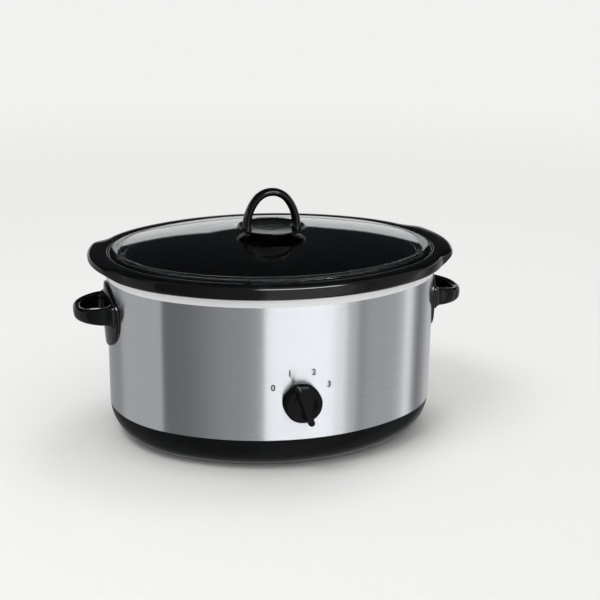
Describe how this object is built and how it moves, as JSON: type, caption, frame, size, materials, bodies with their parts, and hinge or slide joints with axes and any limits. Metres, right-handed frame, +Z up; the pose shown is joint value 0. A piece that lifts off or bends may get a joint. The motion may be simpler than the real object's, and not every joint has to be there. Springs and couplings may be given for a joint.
{
  "type": "slow cooker",
  "caption": "Oval slow cooker with a brushed steel wrap, black base band, lift-out black stoneware crock, domed glass lid with bow handle, side handles and a rotary heat knob.",
  "frame": {"origin": "on the surface the cooker stands on, under the centre of its overall box; the oval's own centre is 5.25 mm behind it", "axes": "+Z up, +X to the cooker's right as seen from the front, knob on the -Y side"},
  "size_m": [0.434, 0.3216, 0.269],
  "materials": {
    "brushed_steel": "brushed round the body, satin",
    "rim_steel": "bright rolled sheet",
    "base_plastic": "black, fine satin grain",
    "plate_steel": "zinc-coated sheet",
    "foot_rubber": "matt",
    "handle_plastic": "black, polished",
    "knob_plastic": "black, polished",
    "switch_plastic": "dark moulded",
    "zinc_steel": "zinc-plated",
    "terminal_brass": "stamped",
    "heater_mica": "woven glass-fibre band",
    "fuse_ceramic": "matt",
    "lead_sleeve": "silicone sleeve",
    "cap_nylon": "nylon",
    "stoneware_glaze": "black gloss glaze",
    "lid_glass": "clear tempered glass",
    "seal_silicone": "silicone",
    "lid_steel": "polished stainless"
  },
  "bodies": {
    "housing": {"outer_wrap": "brushed_steel", "heating_well": "rim_steel", "base_band": "base_plastic", "bottom_plate": "plate_steel", "foot_front_left": "foot_rubber", "foot_front_right": "foot_rubber", "foot_rear_left": "foot_rubber", "foot_rear_right": "foot_rubber", "handle_left": "handle_plastic", "handle_right": "handle_plastic", "handle_screws": "zinc_steel", "cord_bush": "base_plastic", "heater_band": "heater_mica", "heater_strap": "zinc_steel", "strap_spring": "zinc_steel", "thermal_fuse": "fuse_ceramic", "fuse_clip": "zinc_steel", "switch_body": "switch_plastic", "switch_screws": "zinc_steel", "switch_terminals": "terminal_brass", "lead_feed": "lead_sleeve", "lead_fuse": "lead_sleeve", "lead_heater": "lead_sleeve", "lead_return": "lead_sleeve", "splice_caps": "cap_nylon", "centre_bolt": "zinc_steel", "tension_spring": "zinc_steel", "spring_seat": "zinc_steel", "centre_nut": "zinc_steel"},
    "knob": {"control_knob": "knob_plastic", "knob_spring": "zinc_steel", "switch_shaft": "zinc_steel"},
    "crock": {"stoneware": "stoneware_glaze"},
    "lid": {"lid_glass": "lid_glass", "lid_handle": "handle_plastic", "lid_seal": "seal_silicone", "lid_washer": "lid_steel", "lid_screw": "lid_steel"}
  },
  "joints": [
    {"name": "knob_turn", "type": "hinge", "parent": "housing", "child": "knob", "pos_m": [0, -0.13875, 0.0785], "axis": [0, 1, 0], "range_deg": [-40, 80]},
    {"name": "crock_lift", "type": "slide", "parent": "housing", "child": "crock", "axis": [0, 0, 1], "range_m": [0, 0.2]},
    {"name": "lid_lift", "type": "slide", "parent": "crock", "child": "lid", "axis": [0, 0, 1], "range_m": [0, 0.15]}
  ]
}
